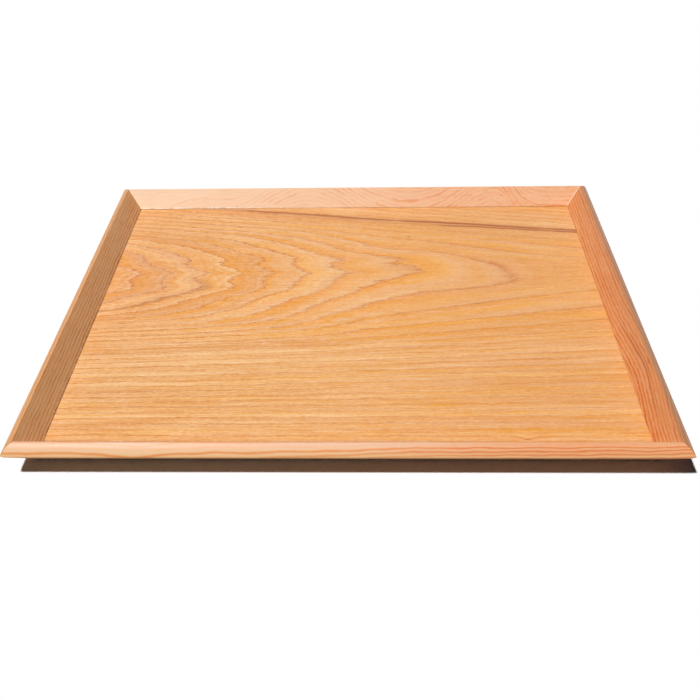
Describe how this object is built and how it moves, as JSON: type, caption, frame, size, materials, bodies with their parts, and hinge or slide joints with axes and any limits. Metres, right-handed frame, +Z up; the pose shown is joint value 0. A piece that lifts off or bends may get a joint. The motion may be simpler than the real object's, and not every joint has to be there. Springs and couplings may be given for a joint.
{
  "type": "wooden serving tray",
  "caption": "Rectangular wooden serving tray: a flat veneered panel grooved into mitred rails that lean outwards, crowned along the top and level at the foot.",
  "frame": {"origin": "centre of the footprint, on the surface that the tray stands on", "axes": "+X along the tray's long side, +Y from the front rail to the back rail, +Z up"},
  "size_m": [0.45, 0.35, 0.0262],
  "materials": {
    "front_rail_wood": "satin clear lacquer, pale pinkish straight grain",
    "back_rail_wood": "satin clear lacquer, pale pinkish flat-sawn grain",
    "left_rail_wood": "satin clear lacquer, honey straight grain",
    "right_rail_wood": "satin clear lacquer, orange striped grain",
    "face_veneer_wood": "satin clear lacquer, honey open-pored figured veneer",
    "ply_wood": "bare plywood layers",
    "back_veneer_wood": "satin clear lacquer, plain straight-grained veneer",
    "tenon_wood": "bare wood, glued in"
  },
  "bodies": {
    "root": {"front_rail": "front_rail_wood", "back_rail": "back_rail_wood", "left_rail": "left_rail_wood", "right_rail": "right_rail_wood", "face_veneer": "face_veneer_wood", "upper_ply": "ply_wood", "core_ply": "ply_wood", "lower_ply": "ply_wood", "back_veneer": "back_veneer_wood", "front_left_tenon": "tenon_wood", "front_right_tenon": "tenon_wood", "back_left_tenon": "tenon_wood", "back_right_tenon": "tenon_wood"}
  },
  "joints": []
}
